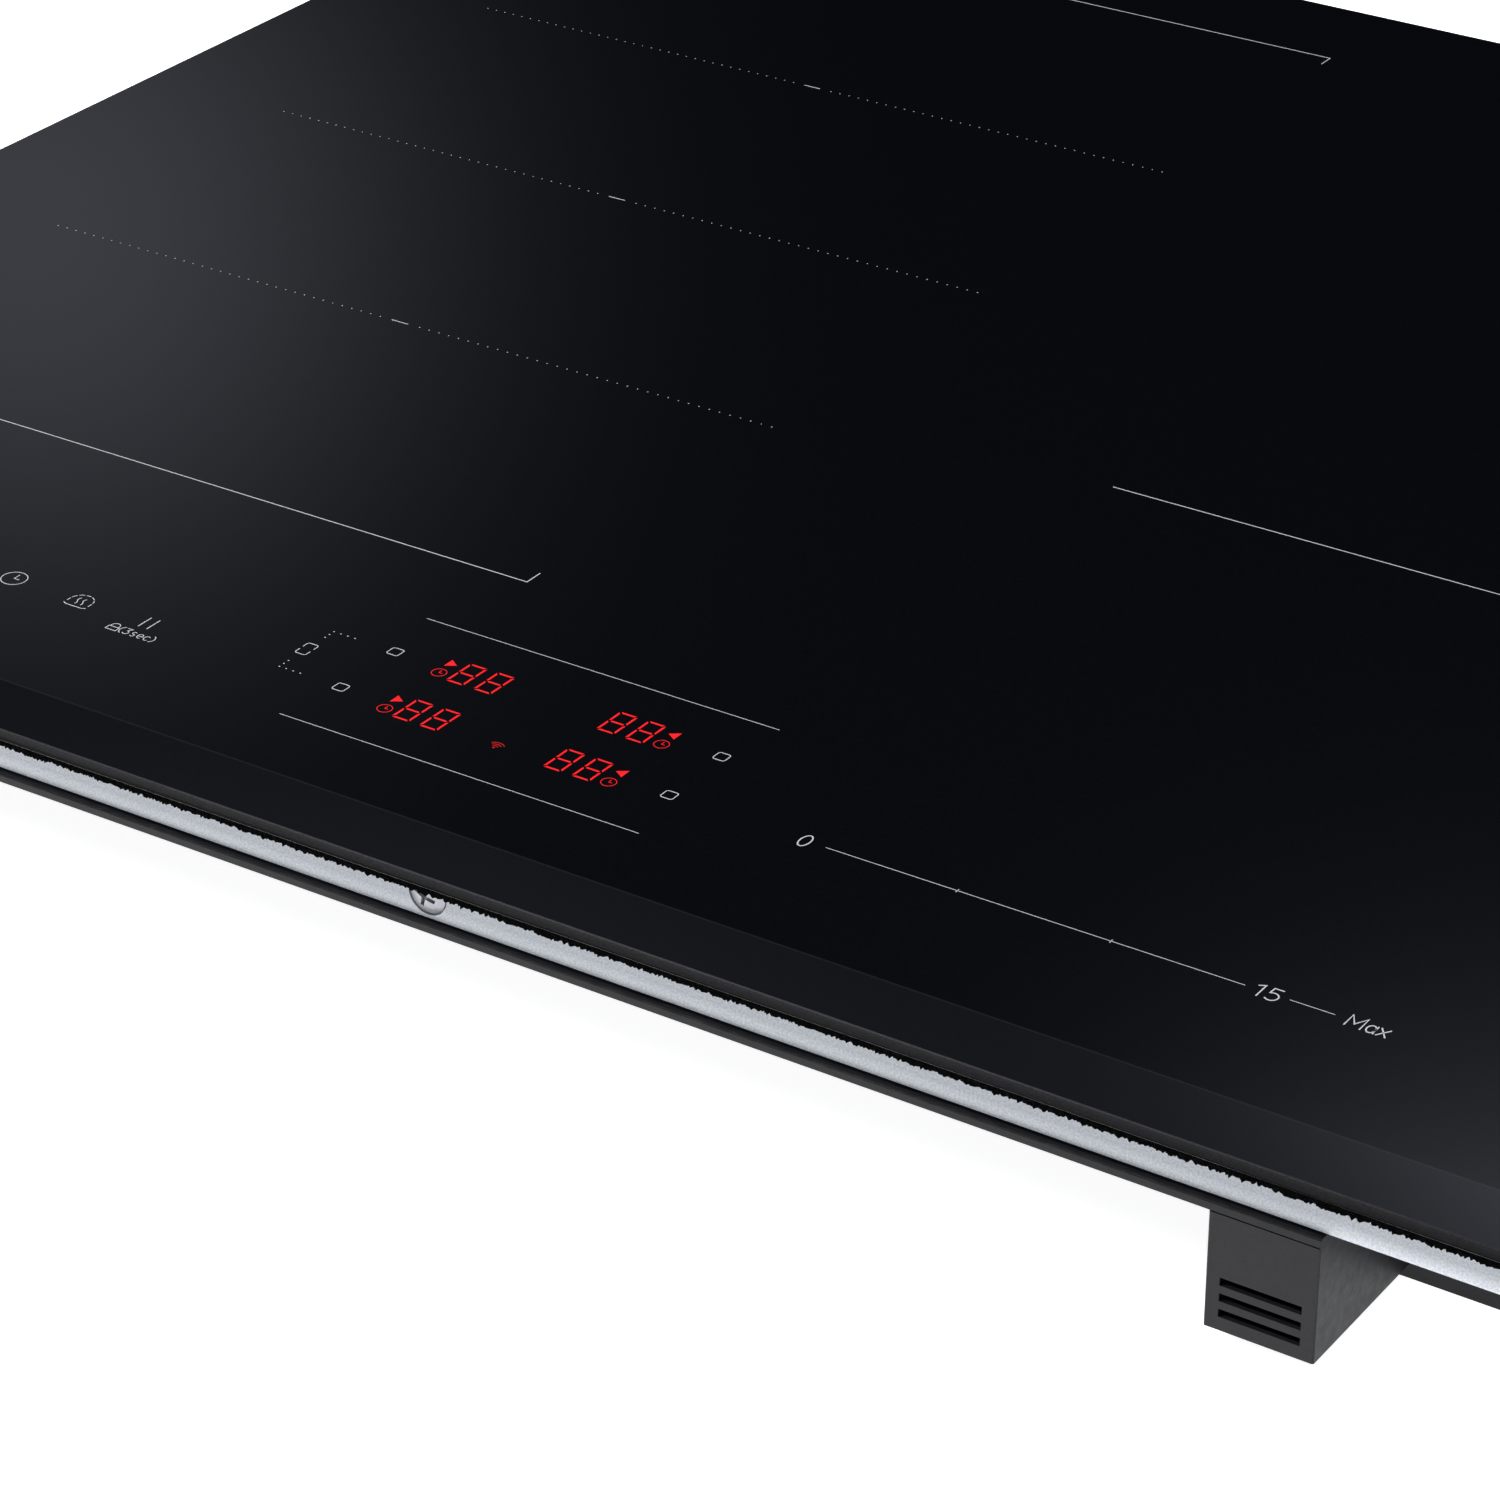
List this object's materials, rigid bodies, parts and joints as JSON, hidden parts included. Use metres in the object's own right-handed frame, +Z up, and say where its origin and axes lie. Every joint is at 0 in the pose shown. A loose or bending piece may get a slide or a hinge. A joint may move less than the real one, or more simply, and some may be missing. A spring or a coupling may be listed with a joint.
{
  "type": "electric induction cooktop",
  "caption": "Built-in induction hob: bevelled black glass plate on a steel frame and dark base tray, with coils, fans, touch panel and swivel clamps.",
  "frame": {"origin": "centre of the footprint at the underside of the base tray", "axes": "+X to the user's right, +Y to the back, +Z up"},
  "size_m": [0.59, 0.52, 0.056],
  "materials": {
    "ceramic_glass": "opaque black glass ceramic, polished top",
    "edge_foam": "black foam tape with a rough cut edge",
    "silicone": "black silicone",
    "galvanised_steel": "pale galvanised sheet steel",
    "zinc_screw": "zinc-plated steel",
    "dark_sheet": "dark grey satin coated sheet",
    "aluminium_sheet": "rolled sheet",
    "coil_plastic": "glass-filled plastic",
    "litz_copper": "varnished copper litz",
    "sensor_rubber": "white silicone cap",
    "mica": "mica paper",
    "circuit_board": "green solder mask",
    "heatsink_aluminium": "extruded aluminium",
    "fan_plastic": "black moulded plastic",
    "display_plastic": "black LED block",
    "carrier_plastic": "white moulded plastic",
    "terminal_plastic": "ivory moulded plastic",
    "inlet_rubber": "black bushing",
    "white_print": "white enamel print on the glass",
    "red_display": "lit red display segments behind the glass",
    "clamp_steel": "zinc-plated spring steel"
  },
  "bodies": {
    "chassis": {"air_duct_left": "dark_sheet", "air_duct_right": "dark_sheet", "base_flange": "dark_sheet", "base_tray": "dark_sheet", "cable_inlet": "inlet_rubber", "clamp_bolt_front_left": "zinc_screw", "clamp_bolt_front_right": "zinc_screw", "clamp_bolt_rear_left": "zinc_screw", "clamp_bolt_rear_right": "zinc_screw", "coil_plate": "aluminium_sheet", "display_left_front": "display_plastic", "display_left_rear": "display_plastic", "display_right_front": "display_plastic", "display_right_rear": "display_plastic", "edge_foam": "edge_foam", "fan_housing_left": "fan_plastic", "fan_housing_right": "fan_plastic", "filter_board": "circuit_board", "flex_former_1": "coil_plastic", "flex_former_2": "coil_plastic", "flex_former_3": "coil_plastic", "flex_former_4": "coil_plastic", "flex_sensor_1": "sensor_rubber", "flex_sensor_2": "sensor_rubber", "flex_sensor_3": "sensor_rubber", "flex_sensor_4": "sensor_rubber", "flex_winding_1": "litz_copper", "flex_winding_2": "litz_copper", "flex_winding_3": "litz_copper", "flex_winding_4": "litz_copper", "frame_screw_front": "zinc_screw", "frame_screw_left": "zinc_screw", "frame_screw_rear": "zinc_screw", "frame_screw_right": "zinc_screw", "glass_plate": "ceramic_glass", "glue_bead": "silicone", "heatsink_left": "heatsink_aluminium", "heatsink_right": "heatsink_aluminium", "mica_sheet_left": "mica", "mica_sheet_right": "mica", "power_board_left": "circuit_board", "power_board_right": "circuit_board", "round_former_front": "coil_plastic", "round_former_rear": "coil_plastic", "round_sensor_front": "sensor_rubber", "round_sensor_rear": "sensor_rubber", "round_winding_front": "litz_copper", "round_winding_rear": "litz_copper", "terminal_block": "terminal_plastic", "terminal_cover": "terminal_plastic", "touch_board": "circuit_board", "touch_carrier": "carrier_plastic", "upper_frame": "galvanised_steel"},
    "fan_left": {"fan_rotor_left": "fan_plastic"},
    "fan_right": {"fan_rotor_right": "fan_plastic"},
    "clamp_front_left": {"clamp_arm_front_left": "clamp_steel"},
    "clamp_front_right": {"clamp_arm_front_right": "clamp_steel"},
    "clamp_rear_left": {"clamp_arm_rear_left": "clamp_steel"},
    "clamp_rear_right": {"clamp_arm_rear_right": "clamp_steel"}
  },
  "joints": [
    {"name": "fan_left_spin", "type": "hinge", "parent": "chassis", "child": "fan_left", "pos_m": [-0.12, 0.15, 0.012], "axis": [0, 0, 1], "continuous": true},
    {"name": "fan_right_spin", "type": "hinge", "parent": "chassis", "child": "fan_right", "pos_m": [0.12, 0.15, 0.012], "axis": [0, 0, 1], "continuous": true},
    {"name": "clamp_front_left_swivel", "type": "hinge", "parent": "chassis", "child": "clamp_front_left", "pos_m": [-0.2695, -0.15, 0.012], "axis": [0, 0, 1], "range_deg": [0, 90]},
    {"name": "clamp_front_right_swivel", "type": "hinge", "parent": "chassis", "child": "clamp_front_right", "pos_m": [0.2695, -0.15, 0.012], "axis": [0, 0, 1], "range_deg": [-90, 0]},
    {"name": "clamp_rear_left_swivel", "type": "hinge", "parent": "chassis", "child": "clamp_rear_left", "pos_m": [-0.2695, 0.15, 0.012], "axis": [0, 0, 1], "range_deg": [-90, 0]},
    {"name": "clamp_rear_right_swivel", "type": "hinge", "parent": "chassis", "child": "clamp_rear_right", "pos_m": [0.2695, 0.15, 0.012], "axis": [0, 0, 1], "range_deg": [0, 90]}
  ]
}
